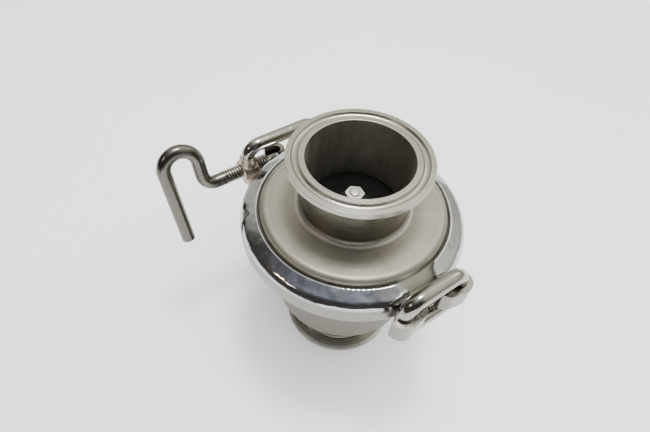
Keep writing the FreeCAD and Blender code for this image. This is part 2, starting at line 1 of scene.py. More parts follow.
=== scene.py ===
# %% [markdown]
# # A screw-clamped check valve
#
# The valve is two turned shells squeezed together by a two-part screw clamp. Inside, a spring lifts a rubber
# disc against the inlet bore. The solid model already holds every part at its right size, so this lesson
# spends its time on what a solid model leaves plain: a real thread, a real coil spring, weld metal, and the
# difference between turned, polished, pressed and drawn stainless steel.
#
# We start by loading the solid model as a frame that never moves.

# %% The frame
import math

import bmesh
import bpy
from mathutils import Matrix, Vector, noise


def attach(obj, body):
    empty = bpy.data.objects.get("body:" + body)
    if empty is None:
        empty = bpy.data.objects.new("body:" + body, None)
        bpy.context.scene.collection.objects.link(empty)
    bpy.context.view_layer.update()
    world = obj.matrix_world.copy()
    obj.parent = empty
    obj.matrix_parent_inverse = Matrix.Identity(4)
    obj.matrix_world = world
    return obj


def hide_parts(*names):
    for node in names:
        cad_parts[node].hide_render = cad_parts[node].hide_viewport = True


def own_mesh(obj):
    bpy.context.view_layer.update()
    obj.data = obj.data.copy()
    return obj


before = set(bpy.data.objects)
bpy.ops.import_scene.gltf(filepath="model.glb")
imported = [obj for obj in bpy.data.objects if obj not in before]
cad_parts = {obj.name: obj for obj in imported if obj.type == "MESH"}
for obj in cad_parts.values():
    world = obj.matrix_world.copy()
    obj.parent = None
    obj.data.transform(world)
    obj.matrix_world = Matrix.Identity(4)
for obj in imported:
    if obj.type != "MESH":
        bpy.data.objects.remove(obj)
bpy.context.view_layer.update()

MM = 0.001

# %% [markdown]
# ## The camera
#
# The camera stands just in front of the valve and looks steeply down on it, a little to the left. We could
# point it with a constraint, but a matrix says exactly where each of its axes goes: right, up and backwards.
# The roll turns the right and down axes about the line of sight.

# %% The camera
CAMERA_PLACE = Vector((0, -139.729, 258.584)) * MM
YAW, TILT, ROLL = -0.139, 0.904, -0.047

forward = Vector((math.sin(YAW) * math.cos(TILT), math.cos(YAW) * math.cos(TILT), -math.sin(TILT)))
level = Vector((math.cos(YAW), -math.sin(YAW), 0))
down = forward.cross(level)
right = math.cos(ROLL) * level + math.sin(ROLL) * down
rolled_down = math.cos(ROLL) * down - math.sin(ROLL) * level

camera_data = bpy.data.cameras.new("camera")
camera_data.sensor_width = 36
camera_data.lens = 24.69
camera_data.shift_x = 0.0209
camera_data.shift_y = 0.0105
camera_data.clip_start = 0.01
camera = bpy.data.objects.new("camera", camera_data)
bpy.context.scene.collection.objects.link(camera)
turn = Matrix((right, -rolled_down, -forward)).transposed()
camera.matrix_world = Matrix.Translation(CAMERA_PLACE) @ turn.to_4x4()
bpy.context.scene.camera = camera
print("camera at", tuple(round(v, 3) for v in CAMERA_PLACE))

# %% [markdown]
# ## Light
#
# Bare metal shows nothing but what stands around it, so the light is really a set of things to reflect. A
# large window panel, behind and to the right, and a small one overhead give the pale highlights. Two little
# lamps, in front and to the left, give sparks in the polished band, and a long low panel lifts what faces
# the camera. The surroundings are pale behind the valve and dim towards the camera, which puts the dark
# bands in the steel that make it look like steel. A ready-made surrounding would do as well, but a few
# blended colours are enough and stay the same on every machine. One more light, very soft and from above,
# brightens the floor but is kept out of reflections, as a ceiling would be that is too far away to make a
# highlight.

# %% Soft panels
def soft_panel(name, place, width, height, power, colour):
    """A rectangular soft light that faces the valve."""
    data = bpy.data.lights.new(name, "AREA")
    data.shape = "RECTANGLE"
    data.size = width
    data.size_y = height
    data.energy = power
    data.color = colour
    panel = bpy.data.objects.new(name, data)
    bpy.context.scene.collection.objects.link(panel)
    facing = (Vector((0, 0, 0.07)) - Vector(place)).to_track_quat("-Z", "Y")
    panel.matrix_world = Matrix.Translation(place) @ facing.to_matrix().to_4x4()


soft_panel("window_panel", (0.70, 0.80, 1.0), 0.5, 0.8, 2.6, (1, 0.99, 0.96))
soft_panel("overhead_panel", (0.03, 0.13, 1.0), 0.2, 0.2, 7.5, (1, 0.99, 0.97))
soft_panel("lamp_panel", (-0.70, -0.42, 0.80), 0.07, 0.07, 0.5, (1, 0.72, 0.45))
soft_panel("side_panel", (-0.62, -0.62, 0.85), 0.10, 0.10, 0.4, (1, 0.98, 0.95))
soft_panel("low_panel", (0.15, -1.0, 0.12), 0.9, 0.16, 1.0, (0.96, 0.98, 1))

sky_data = bpy.data.lights.new("soft_sky", "SUN")
sky_data.energy = 3.8
sky_data.angle = math.radians(70)
sky = bpy.data.objects.new("soft_sky", sky_data)
bpy.context.scene.collection.objects.link(sky)
sky.rotation_euler = (math.radians(14), math.radians(8), 0)
sky.visible_glossy = False
print("five panels, and a soft sky kept out of reflections")

# %% The surrounding room
world = bpy.data.worlds.new("room")
world.use_nodes = True
bpy.context.scene.world = world
room = world.node_tree
room.nodes.clear()


def set_stops(ramp, stops):
    """Gives a ramp its stops, each (position, colour)."""
    while len(ramp.elements) > 1:
        ramp.elements.remove(ramp.elements[-1])
    ramp.elements[0].position = stops[0][0]
    ramp.elements[0].color = (*stops[0][1], 1)
    for position, colour in stops[1:]:
        ramp.elements.new(position).color = (*colour, 1)


def room_ramp(stops):
    """Colours by height: 0.5 is level, 1 is straight up."""
    ramp = room.nodes.new("ShaderNodeValToRGB")
    set_stops(ramp.color_ramp, stops)
    return ramp


def as_share(socket, reach, interpolation):
    """Maps one part of a direction, from -reach to reach, to 0 and 1."""
    node = room.nodes.new("ShaderNodeMapRange")
    node.interpolation_type = interpolation
    node.inputs["From Min"].default_value = -reach
    node.inputs["From Max"].default_value = reach
    room.links.new(socket, node.inputs["Value"])
    return node.outputs["Result"]


ZENITH = (0.80, 0.81, 0.83)
PALE_SIDE = (0.42, 0.91, 0)
FADE = 0.3
ROOM_STRENGTH = 1.5
behind = room_ramp([
    (0.50, (0.40, 0.38, 0.32)),
    (0.62, (0.50, 0.48, 0.42)),
    (0.80, (0.78, 0.76, 0.68)),
    (0.90, (0.95, 0.93, 0.86)),
    (1.00, ZENITH),
])
in_front = room_ramp([
    (0.50, (0.05, 0.045, 0.04)),
    (0.84, (0.05, 0.047, 0.044)),
    (0.92, (0.13, 0.135, 0.15)),
    (0.97, (0.40, 0.42, 0.47)),
    (1.00, ZENITH),
])
view = room.nodes.new("ShaderNodeTexCoord")
split = room.nodes.new("ShaderNodeSeparateXYZ")
room.links.new(view.outputs["Generated"], split.inputs[0])
for ramp in (behind, in_front):
    room.links.new(as_share(split.outputs["Z"], 1.0, "LINEAR"), ramp.inputs[0])
mixed = room.nodes.new("ShaderNodeMix")
mixed.data_type = "RGBA"
backwards = room.nodes.new("ShaderNodeVectorMath")
backwards.operation = "DOT_PRODUCT"
backwards.inputs[1].default_value = PALE_SIDE
room.links.new(view.outputs["Generated"], backwards.inputs[0])
room.links.new(as_share(backwards.outputs["Value"], FADE, "SMOOTHSTEP"), mixed.inputs[0])
room.links.new(in_front.outputs[0], mixed.inputs[6])
room.links.new(behind.outputs[0], mixed.inputs[7])
background = room.nodes.new("ShaderNodeBackground")
background.inputs["Strength"].default_value = ROOM_STRENGTH
room.links.new(mixed.outputs[2], background.inputs["Color"])
room_output = room.nodes.new("ShaderNodeOutputWorld")
room.links.new(background.outputs[0], room_output.inputs["Surface"])
print("room has", len(room.nodes), "nodes")

# %% [markdown]
# ## Writing finishes as sums
#
# A finish is a small network of nodes. Drawing one by hand is pleasant, but in a script the wiring soon hides
# the idea. So `Wire` wraps one socket and lets us write `rough + 0.1 * speckle`; each sign adds its own Math
# node. Colours never go through Math nodes, which would turn them grey: they are blended with Mix nodes.

# %% Wires
class Wire:
    """One output socket of a finish, ready for sums with numbers and other wires."""

    def __init__(self, finish, socket):
        self.finish = finish
        self.socket = socket

    def sum(self, operation, *terms):
        return self.finish.node("ShaderNodeMath", {"operation": operation}, dict(enumerate(terms)))[0]

    def __add__(self, other):
        return self.sum("ADD", self, other)

    def __sub__(self, other):
        return self.sum("SUBTRACT", self, other)

    def __mul__(self, other):
        return self.sum("MULTIPLY", self, other)

    def __rsub__(self, other):
        return self.sum("SUBTRACT", other, self)

    def __lt__(self, other):
        return self.sum("LESS_THAN", self, other)

    def or_larger(self, other):
        return self.sum("MAXIMUM", self, other)

    __radd__ = __add__
    __rmul__ = __mul__


# %% Finishes
class Finish:
    """A material named for its finish, with the few networks that all of ours share."""

    def __init__(self, name, metallic=1.0, specular=0.5):
        self.material = bpy.data.materials.new(name)
        self.material.use_nodes = True
        self.tree = self.material.node_tree
        self.shader = self.tree.nodes["Principled BSDF"]
        self.shader.inputs["Metallic"].default_value = metallic
        self.shader.inputs["Specular IOR Level"].default_value = specular
        self.place = self.node("ShaderNodeTexCoord")["Object"]

    def node(self, kind, settings=None, inputs=None):
        """Adds a node: first its settings, then its sockets' values or links. Returns its outputs."""
        made = self.tree.nodes.new(kind)
        for name, value in (settings or {}).items():
            if name == "stops":
                set_stops(made.color_ramp, value)
            else:
                setattr(made, name, value)
        for name, value in (inputs or {}).items():
            if isinstance(value, Wire):
                self.tree.links.new(value.socket, made.inputs[name])
            else:
                made.inputs[name].default_value = value
        outputs = {}
        for i, socket in enumerate(made.outputs):
            outputs[i] = Wire(self, socket)
            outputs.setdefault(socket.name, outputs[i])
        return outputs

    def grain(self, size, detail=3, vector=None):
        """Cloudy pattern from 0 to 1 whose patches are about size millimetres across."""
        place = vector or self.place
        inputs = {"Vector": place, "Scale": 1 / (size * MM), "Detail": detail, "Roughness": 0.6}
        return self.node("ShaderNodeTexNoise", {}, inputs)["Fac"]

    def rise(self, value, low, high):
        """0 where value is below low, 1 above high, smooth between."""
        inputs = {"Value": value, "From Min": low, "From Max": high}
        return self.node("ShaderNodeMapRange", {"interpolation_type": "SMOOTHSTEP"}, inputs)["Result"]

    def blend(self, mask, first, second):
        """A colour that is first where mask is 0 and second where it is 1."""
        colours = {"Factor": mask, 6: as_colour(first), 7: as_colour(second)}
        return self.node("ShaderNodeMix", {"data_type": "RGBA"}, colours)[2]

    def stretched(self, x, y, z):
        """The place, scaled by x, y and z, so that a pattern on it is drawn out along the small ones."""
        product = {"operation": "MULTIPLY"}
        return self.node("ShaderNodeVectorMath", product, {0: self.place, 1: (x, y, z)})["Vector"]

    def radius(self):
        """Distance from the valve's axis, in metres."""
        flat = self.stretched(1, 1, 0)
        return self.node("ShaderNodeVectorMath", {"operation": "LENGTH"}, {0: flat})["Value"]

    def height(self):
        return self.node("ShaderNodeSeparateXYZ", {}, {0: self.place})["Z"]

    def lathe_marks(self, size, detail=2):
        """Fine rings about the axis: the pattern reads only radius and height, so it runs round."""
        z = self.height()
        rings = self.node("ShaderNodeCombineXYZ", {}, {0: self.radius(), 2: z})[0]
        return self.grain(size, detail, rings)

    def near(self, point, reach):
        """1 at a point in metres, falling to 0 at reach millimetres."""
        gap = self.node("ShaderNodeVectorMath", {"operation": "DISTANCE"}, {0: self.place, 1: point})["Value"]
        return 1 - self.rise(gap, 0, reach * MM)

    def wear(self, colour=None, rough=None, bump=None, depth=0.1):
        """Joins colour, roughness and bump to the shader. depth is the bump's height in millimetres."""
        if colour is not None:
            self.join("Base Color", colour)
        if rough is not None:
            self.join("Roughness", rough)
        if bump is not None:
            sockets = {"Height": bump, "Distance": depth * MM, "Strength": 1.0}
            self.join("Normal", self.node("ShaderNodeBump", {}, sockets)["Normal"])
        return self.material

    def join(self, name, value):
        if isinstance(value, Wire):
            self.tree.links.new(value.socket, self.shader.inputs[name])
        else:
            self.shader.inputs[name].default_value = value


def as_colour(colour):
    """A wire as it is, or three numbers as a colour without transparency."""
    return colour if isinstance(colour, Wire) else (*colour, 1)


# %% [markdown]
# ## Places round the clamp
#
# The clamp has two gaps: one with the hinge link and one, straight across, with the screw. Everything near a
# gap is easiest to think of in the gap's own directions: outwards, along the tangent, and up. One rotation
# then carries it to its place. Working that out point by point would hide what is a simple turn.

# %% The gaps' own directions
HINGE_TURN = math.radians(-46.5)
SCREW_TURN = math.radians(133.5)
JOINT_HEIGHT = 88.75


def at_gap(azimuth, out, along, up=0.0):
    """A point beside a gap, in metres, from millimetres outwards, along the tangent and above the joint."""
    return Matrix.Rotation(azimuth, 4, "Z") @ (Vector((out, along, JOINT_HEIGHT + up)) * MM)


SCREW_OUT = 56.6
SCREW_MIDDLE = at_gap(SCREW_TURN, SCREW_OUT, 0)
SCREW_LINE = Matrix.Rotation(SCREW_TURN, 3, "Z") @ Vector((0, 1, 0))
ROOT_OUT, ROOT_ALONG = 52.6, 10.5
hook_roots = []
for gap_turn in (HINGE_TURN, SCREW_TURN):
    for side in (1, -1):
        hook_roots.append(at_gap(gap_turn, ROOT_OUT, side * ROOT_ALONG))
print(len(hook_roots), "hook roots")

# %% [markdown]
# ## The body's satin steel
#
# The two shells are turned, then blasted and rubbed down, so they look soft and warm: a wide blurred
# highlight, faint rings that run round the axis, a few cloudy stains and some tiny pits. Rings that follow
# the lathe come from a pattern that only knows the radius and the height. A brushed texture wrapped on would
# need a seam somewhere; this has none.

# %% Satin steel
CUP_WALL_TOP, FLANGE_FOOT = 60, 78
SATIN_METALLIC = 0.86


def satin_steel():
    finish = Finish("satin_steel", metallic=SATIN_METALLIC)
    clouds = finish.grain(16, 4)
    rings = finish.lathe_marks(0.25)
    broad_rings = finish.rise(finish.lathe_marks(1.6, 4), 0.40, 0.66)
    blasted = finish.grain(0.12, 2)
    speckle = finish.grain(0.9, 4)
    stains = finish.rise(finish.grain(22, 5), 0.52, 0.72)
    pits = finish.rise(finish.grain(1.3, 1), 0.80, 0.86)
    colour = finish.blend(clouds, (0.24, 0.229, 0.185), (0.40, 0.384, 0.325))
    colour = finish.blend(0.16 * broad_rings + 0.30 * speckle, colour, (0.15, 0.142, 0.112))
    colour = finish.blend(0.55 * stains, colour, (0.17, 0.152, 0.115))
    colour = finish.blend(0.7 * pits, colour, (0.16, 0.14, 0.12))
    # Painted shade: below the flange the cup is painted darker, a painted dark reflection of what lies under
    # it.
    cup_painted_shade = 1 - finish.rise(finish.height(), CUP_WALL_TOP * MM, FLANGE_FOOT * MM)
    colour = finish.blend(0.8 * cup_painted_shade, colour, (0.15, 0.143, 0.12))
    rough = 0.30 + 0.10 * clouds + 0.06 * broad_rings + 0.05 * rings + 0.08 * stains + 0.2 * pits
    relief = 1.5 * rings + 0.10 * blasted - 0.8 * pits
    return finish.wear(colour, rough, relief, 0.05)


# %% [markdown]
# ## The ferrules' turned steel
#
# The bore is rougher, and it is painted lighter in streaks along its length: a painted reflection of the
# light that comes down it. The tube outside, under the rims, and the outlet ferrule's back are painted dark:
# painted
# shade. One finish covers all three: masks on the radius and the height tell them apart.

# %% Turned steel
BORE_RADIUS = 23.75
TUBE_RADIUS = 25.4
FERRULE_SHADE = 30.2
FOOT_HEIGHT = 40
OUTLET_RIM, INLET_RIM = 2.9, 124


def turned_steel():
    finish = Finish("turned_steel")
    rings = finish.lathe_marks(0.18)
    broad_rings = finish.lathe_marks(1.1, 3)
    clouds = finish.grain(9, 4)
    radius = finish.radius()
    in_bore = 1 - finish.rise(radius, (BORE_RADIUS + 0.05) * MM, (BORE_RADIUS + 0.35) * MM)
    height = finish.height()
    narrow = 1 - finish.rise(radius, (TUBE_RADIUS + 0.3) * MM, (TUBE_RADIUS + 1.2) * MM)
    inside_shade = 1 - finish.rise(radius, FERRULE_SHADE * MM, (FERRULE_SHADE + 1) * MM)
    at_foot = inside_shade * (height < FOOT_HEIGHT * MM)
    above_rim = finish.rise(height, OUTLET_RIM * MM, (OUTLET_RIM + 0.4) * MM)
    below_rim = 1 - finish.rise(height, INLET_RIM * MM, (INLET_RIM + 1) * MM)
    between_faces = above_rim * below_rim
    under_rim_shade = between_faces * (1 - in_bore) * narrow.or_larger(at_foot)
    streaks = finish.grain(5.0, 4, finish.stretched(1, 1, 0.3))
    colour = finish.blend(clouds, (0.38, 0.365, 0.32), (0.50, 0.485, 0.435))
    # Painted reflection: the bore is painted lighter, in streaks along its length.
    bore_painted_reflection = finish.blend(streaks, (0.34, 0.32, 0.27), (0.78, 0.76, 0.70))
    # Painted shade: the tube under the rims, and the outlet ferrule's back, are painted dark.
    dark_tone = finish.blend(clouds, (0.12, 0.112, 0.09), (0.24, 0.225, 0.18))
    colour = finish.blend(0.9 * in_bore, colour, bore_painted_reflection)
    colour = finish.blend(0.9 * under_rim_shade, colour, dark_tone)
    rough = 0.20 + 0.08 * broad_rings + 0.05 * rings + in_bore * (0.18 + 0.12 * streaks)
    relief = 1.8 * rings + 0.6 * broad_rings
    return finish.wear(colour, rough, relief, 0.03)


# %% [markdown]
# ## The clamp band's polish
#
# The band is polished sheet, the brightest thing here, and it is also what gets knocked about. Its bevels
# are nearly mirrors, gently wavy where the sheet was pressed; its upright wall is scuffed along its length,
# and painted much darker than the bevels, as painted shade.
# Each hook is welded on, and the heat leaves a dull straw-brown patch round its root. Three masks say where
# each of these is, and the finish adds them up.

# %% Polished band
BAND_WALL_RADIUS = 53.3
HEAT_REACH = 9


def polished_band():
    finish = Finish("polished_band")
    on_wall = finish.rise(finish.radius(), BAND_WALL_RADIUS * MM, (BAND_WALL_RADIUS + 0.6) * MM)
    scuffs = finish.grain(1.0, 4, finish.stretched(0.35, 0.35, 3.0))
    scratches = finish.rise(finish.grain(0.7, 2, finish.stretched(0.16, 0.9, 0.5)), 0.66, 0.74)
    waves = finish.grain(13, 2)
    smears = finish.rise(finish.grain(3.2, 5, finish.stretched(0.5, 0.5, 1.4)), 0.50, 0.78)
    heat = finish.near(hook_roots[0], HEAT_REACH)
    for root in hook_roots[1:]:
        heat = heat + finish.near(root, HEAT_REACH)
    blotches = heat * finish.rise(finish.grain(2.6, 4), 0.35, 0.65)
    # The upright wall's scuffs are wear; its dark tone, far below the bevels', is painted shade.
    wall_scuffs_and_shade = finish.blend(scuffs, (0.12, 0.113, 0.095), (0.34, 0.33, 0.295))
    colour = finish.blend(waves, (0.46, 0.47, 0.49), (0.60, 0.61, 0.625))
    colour = finish.blend(0.7 * smears, colour, (0.24, 0.238, 0.225))
    colour = finish.blend(0.95 * on_wall, colour, wall_scuffs_and_shade)
    colour = finish.blend(0.6 * blotches, colour, (0.38, 0.34, 0.27))
    rough = 0.09 + 0.05 * waves + 0.12 * smears + 0.08 * scratches
    rough = rough + on_wall * (0.10 + 0.14 * scuffs) + 0.2 * blotches
    relief = 2.6 * waves + 0.10 * smears + 0.06 * scratches
    relief = relief + on_wall * (0.2 * scuffs) + 0.15 * blotches
    return finish.wear(colour, rough, relief, 0.22)


# %% [markdown]
# ## Steel worked after rolling
#
# The hooks are cut from strip, bent and tumbled, so their skin is even but dappled. The links and the screw
# are drawn rod: smooth, with faint lines and a few pressed marks from bending. The boss was welded into its
# loop and keeps the brown of the heat. Welds and spring wire are of the same family. They differ in numbers
# more than in kind, so one function makes them all from their own numbers.

# %% Worked steel
def worked_steel(name, dark, light, shine, dapple, mottle, stain):
    """Steel worked after rolling. dapple is its pattern's size in millimetres, mottle its strength, stain
    the share of it that has gone brown."""
    finish = Finish(name)
    patches = finish.grain(dapple, 4)
    fine = finish.grain(0.35, 3, finish.stretched(1, 1, 0.5))
    marks = finish.rise(finish.grain(3.1, 2), 0.68, 0.78)
    browning = finish.rise(finish.grain(5.5, 4), 0.60 - 0.5 * stain, 0.85 - 0.4 * stain)
    colour = finish.blend(patches, dark, light)
    colour = finish.blend((0.25 + 0.55 * stain) * browning, colour, (0.27, 0.20, 0.13))
    colour = finish.blend(0.5 * marks, colour, dark)
    rough = shine + mottle * patches + 0.08 * fine + 0.15 * marks + 0.2 * stain * browning
    relief = 0.25 * fine + 0.6 * mottle * patches - 0.5 * marks + 0.5 * stain * patches
    return finish.wear(colour, rough, relief, 0.08)


THREAD_END = 40.6
CREST, ROOT = 3.95, 3.15


def threaded_rod():
    """Drawn rod whose thread roots are painted near black: painted shade in the grooves."""
    finish = Finish("threaded_rod")
    patches = finish.grain(6, 4)
    subtract = {"operation": "SUBTRACT"}
    cross = {"operation": "CROSS_PRODUCT"}
    length = {"operation": "LENGTH"}
    beside = finish.node("ShaderNodeVectorMath", subtract, {0: finish.place, 1: SCREW_MIDDLE})["Vector"]
    arm = finish.node("ShaderNodeVectorMath", cross, {0: beside, 1: SCREW_LINE})["Vector"]
    off_axis = finish.node("ShaderNodeVectorMath", length, {0: arm})["Value"]
    dot = {"operation": "DOT_PRODUCT"}
    along = finish.node("ShaderNodeVectorMath", dot, {0: beside, 1: SCREW_LINE})["Value"]
    on_thread = 1 - finish.rise(along, (THREAD_END - 0.9) * MM, (THREAD_END - 0.3) * MM)
    shaded_root = on_thread * (1 - finish.rise(off_axis, ROOT * MM, (ROOT + 0.3) * MM))
    # Past the thread, the handle is a darker tone than the thread.
    dark_tone = finish.blend(patches, (0.11, 0.105, 0.093), (0.19, 0.182, 0.163))
    metal = finish.blend(on_thread, dark_tone, (0.50, 0.485, 0.44))
    # Painted shade: the thread's roots are painted near black.
    colour = finish.blend(0.88 * shaded_root, metal, (0.05, 0.042, 0.032))
    fine = finish.grain(0.35, 3, finish.stretched(1, 1, 0.5))
    rough = 0.17 + 0.08 * patches + 0.08 * fine + 0.3 * shaded_root
    return finish.wear(colour, rough, 0.25 * fine + 0.05 * patches, 0.08)


threaded_steel = threaded_rod()
pressed_steel = worked_steel(
    "pressed_steel", (0.14, 0.133, 0.118), (0.32, 0.31, 0.28), shine=0.15, dapple=3.0, mottle=0.10, stain=0.05
)
drawn_rod = worked_steel(
    "drawn_rod", (0.27, 0.26, 0.23), (0.44, 0.43, 0.39), shine=0.08, dapple=6.0, mottle=0.08, stain=0.05
)
boss_brown = worked_steel(
    "boss_brown", (0.34, 0.285, 0.22), (0.60, 0.54, 0.45), shine=0.28, dapple=2.2, mottle=0.12, stain=0.35
)
weld_steel = worked_steel(
    "weld_steel", (0.34, 0.325, 0.285), (0.46, 0.44, 0.40), shine=0.36, dapple=4.0, mottle=0.08, stain=0.08
)
spring_steel = worked_steel(
    "spring_steel", (0.44, 0.43, 0.41), (0.60, 0.59, 0.57), shine=0.20, dapple=4.0, mottle=0.08, stain=0.1
)
print("worked steels:", pressed_steel.name, drawn_rod.name, boss_brown.name, weld_steel.name)

# %% [markdown]
# ## Bright fittings, rubber and plastic
#
# The nut, the washers and the stem are machined bright, with only fine marks. Rubber is hardly a mirror at
# all: near black, soft in its highlight, with a dusting of pale specks that stops it looking like a hole. The
# guide bush is off-white bearing plastic, a little yellowed.

# %% Bright steel
def bright_steel():
    finish = Finish("bright_steel")
    marks = finish.lathe_marks(0.2)
    clouds = finish.grain(3, 3)
    colour = finish.blend(clouds, (0.78, 0.77, 0.75), (0.92, 0.91, 0.89))
    return finish.wear(colour, 0.2 + 0.12 * clouds + 0.06 * marks, marks, 0.02)


# %% Rubber and plastic
def soft_black(name, shade, dust):
    finish = Finish(name, metallic=0.0, specular=0.2)
    specks = finish.rise(finish.grain(0.6, 2), 0.70, 0.80)
    bloom = finish.grain(8, 4)
    base = finish.blend(bloom, (shade, shade, shade), (1.8 * shade, 1.75 * shade, 1.7 * shade))
    colour = finish.blend(dust * specks, base, (0.30, 0.29, 0.27))
    relief = 0.5 * finish.grain(0.3, 3) + 0.4 * finish.lathe_marks(0.7)
    return finish.wear(colour, 0.42 + 0.2 * bloom, relief, 0.04)


def bush_plastic():
    finish = Finish("bush_plastic", metallic=0.0)
    clouds = finish.grain(5, 3)
    colour = finish.blend(clouds, (0.66, 0.63, 0.54), (0.80, 0.78, 0.71))
    return finish.wear(colour, 0.38 + 0.12 * clouds, finish.lathe_marks(0.3), 0.03)


# The seal's rubber is far darker than the gasket's: painted shade at the bottom of the bore.
seal_rubber = soft_black("seal_rubber", shade=0.0015, dust=0.03)
gasket_rubber = soft_black("gasket_rubber", shade=0.03, dust=0.1)
satin, turned, polished = satin_steel(), turned_steel(), polished_band()
bright, bush_white = bright_steel(), bush_plastic()
print("finishes:", len(bpy.data.materials))

# %% [markdown]
# ## Finishing the parts that are already right
#
# Most parts of the solid model have their true shape, so they only take a finish. Its meshes are never
# touched: they are what the moving model is checked against.

# %% Handing out the finishes
FINISHES = {
    satin: ("upper_body", "lower_flange", "lower_body"),
    turned: ("inlet_ferrule", "outlet_ferrule", "guide_spider"),
    weld_steel: ("inlet_weld", "outlet_weld"),
    polished: ("rear_band", "front_band"),
    pressed_steel: ("hook_rear_hinge", "hook_front_hinge", "hook_rear_screw", "hook_front_screw"),
    drawn_rod: ("hinge_link", "screw_link", "thrust_button"),
    boss_brown: ("link_boss",),
    bright: ("stem", "spring_cup", "backing_disc", "seal_washer", "stem_nut", "spring_washer"),
    seal_rubber: ("seal_disc",),
    gasket_rubber: ("body_gasket",),
    bush_white: ("guide_bush",),
}
for material, names in FINISHES.items():
    for name in names:
        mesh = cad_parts[name].data
        mesh.materials.clear()
        mesh.materials.append(material)
    print(material.name, "on", len(names), "parts")

# %% [markdown]
# ## Making new pieces
#
# A new piece is drawn in millimetres in whatever directions suit it, then scaled and turned into place as
# its mesh is written. Its object stays at the origin, like those of the solid model. Rod is made with two
# tools: `feed` pushes an open ring of edges straight, and `bend` swings it round a centre, one move at a
# time, as the real rod is fed and bent.

# %% Writing a piece
def finished(bm, name, material, body, place=None, replaced=()):
    """Turns a mesh drawn in millimetres into a piece that rides on a body."""
    bmesh.ops.remove_doubles(bm, verts=bm.verts, dist=0.0005)
    bmesh.ops.recalc_face_normals(bm, faces=bm.faces)
    matrix = (place or Matrix.Identity(4)) @ Matrix.Diagonal((MM, MM, MM, 1))
    bmesh.ops.transform(bm, matrix=matrix, verts=bm.verts)
    mesh = bpy.data.meshes.new(name)
    bm.to_mesh(mesh)
    bm.free()
    mesh.materials.append(material)
    piece = bpy.data.objects.new(name, mesh)
    bpy.context.scene.collection.objects.link(piece)
    mesh.shade_smooth()
    mesh.set_sharp_from_angle(angle=math.radians(40))
    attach(piece, body)
    if replaced:
        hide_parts(*replaced)
    print(name, "faces:", len(mesh.polygons))
    return piece


def gap_frame(azimuth):
    """Directions of a gap: outwards, along the tangent, and up from the joint."""
    return Matrix.Rotation(azimuth, 4, "Z") @ Matrix.Translation((0, 0, JOINT_HEIGHT * MM))


# %% Feeding and bending rod
def rod_end(bm, radius, centre, direction, segments=28):
    """A filled circle where a rod begins. Returns its edges, ready to be moved."""
    facing = Vector((0, 0, 1)).rotation_difference(Vector(direction)).to_matrix().to_4x4()
    matrix = Matrix.Translation(centre) @ facing
    made = bmesh.ops.create_circle(bm, cap_ends=True, radius=radius, segments=segments, matrix=matrix)
    return [edge for edge in bm.edges if all(vert in made["verts"] for vert in edge.verts)]


def feed(bm, edges, move, scale=1.0):
    """Pushes a ring of edges straight by move, and may shrink it. Returns the new ring."""
    made = bmesh.ops.extrude_edge_only(bm, edges=edges)["geom"]
    verts = [item for item in made if isinstance(item, bmesh.types.BMVert)]
    bmesh.ops.translate(bm, vec=move, verts=verts)
    if scale != 1.0:
        middle = sum((vert.co for vert in verts), Vector()) / len(verts)
        bmesh.ops.scale(bm, vec=(scale, scale, scale), space=Matrix.Translation(-middle), verts=verts)
    return [item for item in made if isinstance(item, bmesh.types.BMEdge)]


def bend(bm, edges, centre, axis, degrees, steps, climb=(0, 0, 0)):
    """Swings a ring of edges about a centre. climb is added at each step. Returns the new ring."""
    made = bmesh.ops.spin(
        bm,
        geom=edges,
        cent=centre,
        axis=axis,
        dvec=climb,
        angle=math.radians(degrees),
        steps=steps,
        use_merge=False,
        use_duplicate=False,
    )["geom_last"]
    return [item for item in made if isinstance(item, bmesh.types.BMEdge)]


# %% [markdown]
# ## The clamp screw
#
# The solid model's screw is plain, because its thread would make the fit tests slow. Here it gets a real
# thread. One pitch of the thread's outline, swept round the screw's axis while it climbs one pitch a turn,
# makes the whole thread with its neighbours meeting exactly; two flat cuts trim it to length. A bump pattern
# would look right from in front, but the saw-toothed edge against the floor gives it away.

# %% The thread
THREAD_PITCH = 1.411
THREAD_START = 15.2
STEPS_PER_TURN = 28


def thread(bm):
    turns = math.ceil((THREAD_END - THREAD_START) / THREAD_PITCH) + 2
    outline = [(ROOT, 0.0), (ROOT, 0.14), (CREST, 0.44), (CREST, 0.56), (ROOT, 0.86), (ROOT, 1.0)]
    verts = []
    for radius, share in outline:
        along = THREAD_START + (share - 1.5) * THREAD_PITCH
        verts.append(bm.verts.new((SCREW_OUT + radius, along, 0)))
    edges = [bm.edges.new(pair) for pair in zip(verts, verts[1:])]
    climb = (0, THREAD_PITCH / STEPS_PER_TURN, 0)
    bend(bm, edges, (SCREW_OUT, 0, 0), (0, 1, 0), 360 * turns, STEPS_PER_TURN * turns, climb)
    bmesh.ops.remove_doubles(bm, verts=bm.verts, dist=0.002)
    for place, facing in ((THREAD_START, -1), (THREAD_END, 1)):
        geometry = list(bm.verts) + list(bm.edges) + list(bm.faces)
        cut = bmesh.ops.bisect_plane(
            bm, geom=geometry, plane_co=(0, place, 0), plane_no=(0, facing, 0), clear_outer=True
        )
        rim = [item for item in cut["geom_cut"] if isinstance(item, bmesh.types.BMEdge)]
        bmesh.ops.holes_fill(bm, edges=rim, sides=0)


# %% [markdown]
# The handle is the same rod, bent up, over and down again into a long finger hook, and its plane leans
# outwards. It overlaps the thread's end a little, inside the steel, where nobody sees the join.

# %% The handle
ROD_RADIUS = 3.5
LEAN = math.radians(14.6)
LOW_BEND, TOP_BEND = 6.5, 8.59
RISE_ALONG, HANDLE_TOP, HANDLE_END = 51.3, 23.2, -26.6
OVERLAP = 0.8
END_SLOPE, END_SHRINK = 0.5, 0.87


